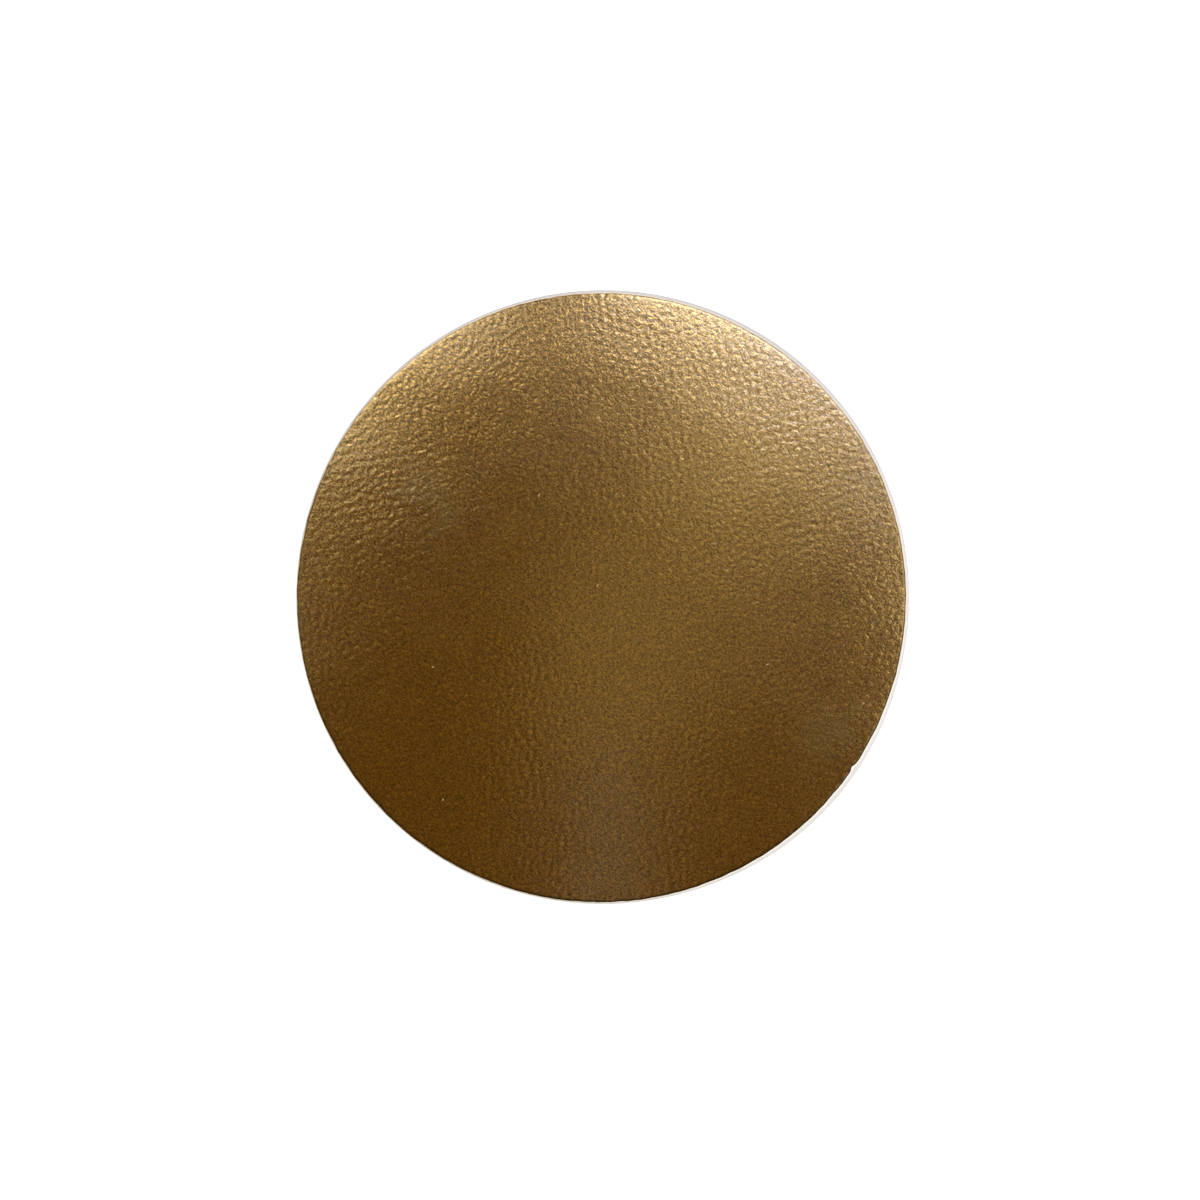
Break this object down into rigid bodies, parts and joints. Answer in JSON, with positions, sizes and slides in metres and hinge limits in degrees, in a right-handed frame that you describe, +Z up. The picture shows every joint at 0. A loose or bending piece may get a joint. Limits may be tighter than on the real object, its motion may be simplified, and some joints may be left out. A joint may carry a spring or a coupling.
{
  "type": "cake board",
  "caption": "Flat round paperboard disc with a pebbled gold foil face and a white cut edge, which carries a small cake.",
  "frame": {"origin": "centre of the underside, on the surface that the board lies on", "axes": "+Z up out of the gold face, which is the axis of the disc; X and Y lie in the underside"},
  "size_m": [0.152, 0.152, 0.003],
  "materials": {
    "gold_foil": "metallic gold foil laminated on paperboard, satin gloss with a fine pebble grain",
    "white_board": "plain white paperboard on the cut edge and the underside, matte"
  },
  "bodies": {
    "root": {"cake_board": "gold_foil"}
  },
  "joints": []
}
